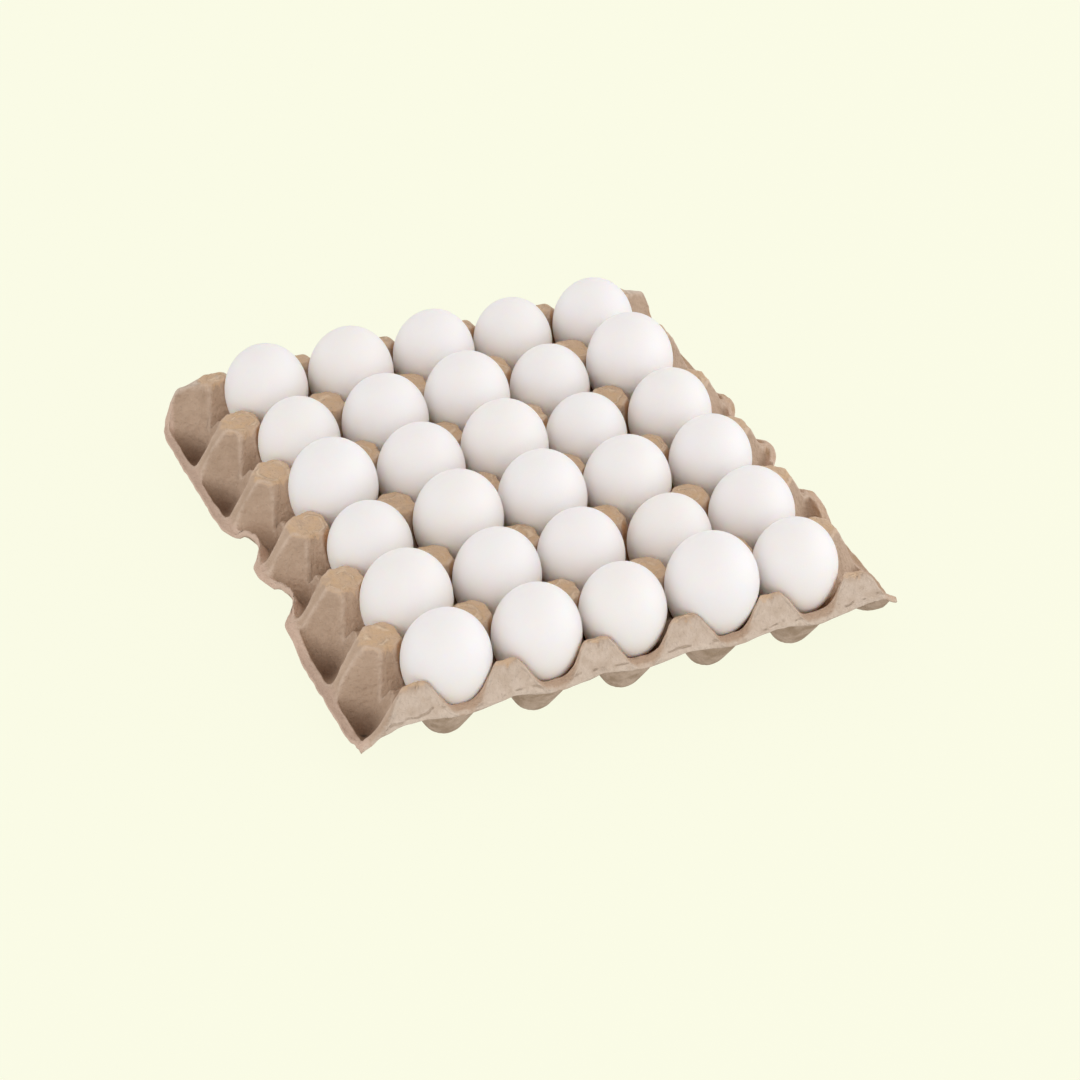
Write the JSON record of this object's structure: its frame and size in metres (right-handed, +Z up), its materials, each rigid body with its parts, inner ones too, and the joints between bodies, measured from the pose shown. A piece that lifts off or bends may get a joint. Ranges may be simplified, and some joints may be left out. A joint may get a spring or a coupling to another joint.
{
  "type": "egg tray with eggs",
  "caption": "Open moulded-pulp egg tray with posts, cups and finger notches, filled with white hens' eggs standing blunt end up.",
  "frame": {"origin": "middle of the tray, on the surface it stands on", "axes": "+X along a row of five eggs, +Y along a column of six eggs towards the back, +Z up"},
  "size_m": [0.3, 0.296, 0.0768],
  "materials": {
    "pulp": "rough grey-brown moulded pulp, fibrous, matt",
    "eggshell": "white eggshell, smooth, soft sheen"
  },
  "bodies": {
    "root": {"tray": "pulp", "egg_1_1": "eggshell", "egg_1_2": "eggshell", "egg_1_3": "eggshell", "egg_1_4": "eggshell", "egg_1_5": "eggshell", "egg_2_1": "eggshell", "egg_2_2": "eggshell", "egg_2_3": "eggshell", "egg_2_4": "eggshell", "egg_2_5": "eggshell", "egg_3_1": "eggshell", "egg_3_2": "eggshell", "egg_3_3": "eggshell", "egg_3_4": "eggshell", "egg_3_5": "eggshell", "egg_4_1": "eggshell", "egg_4_2": "eggshell", "egg_4_3": "eggshell", "egg_4_4": "eggshell", "egg_4_5": "eggshell", "egg_5_1": "eggshell", "egg_5_2": "eggshell", "egg_5_3": "eggshell", "egg_5_4": "eggshell", "egg_5_5": "eggshell", "egg_6_1": "eggshell", "egg_6_2": "eggshell", "egg_6_3": "eggshell", "egg_6_4": "eggshell", "egg_6_5": "eggshell"}
  },
  "joints": []
}
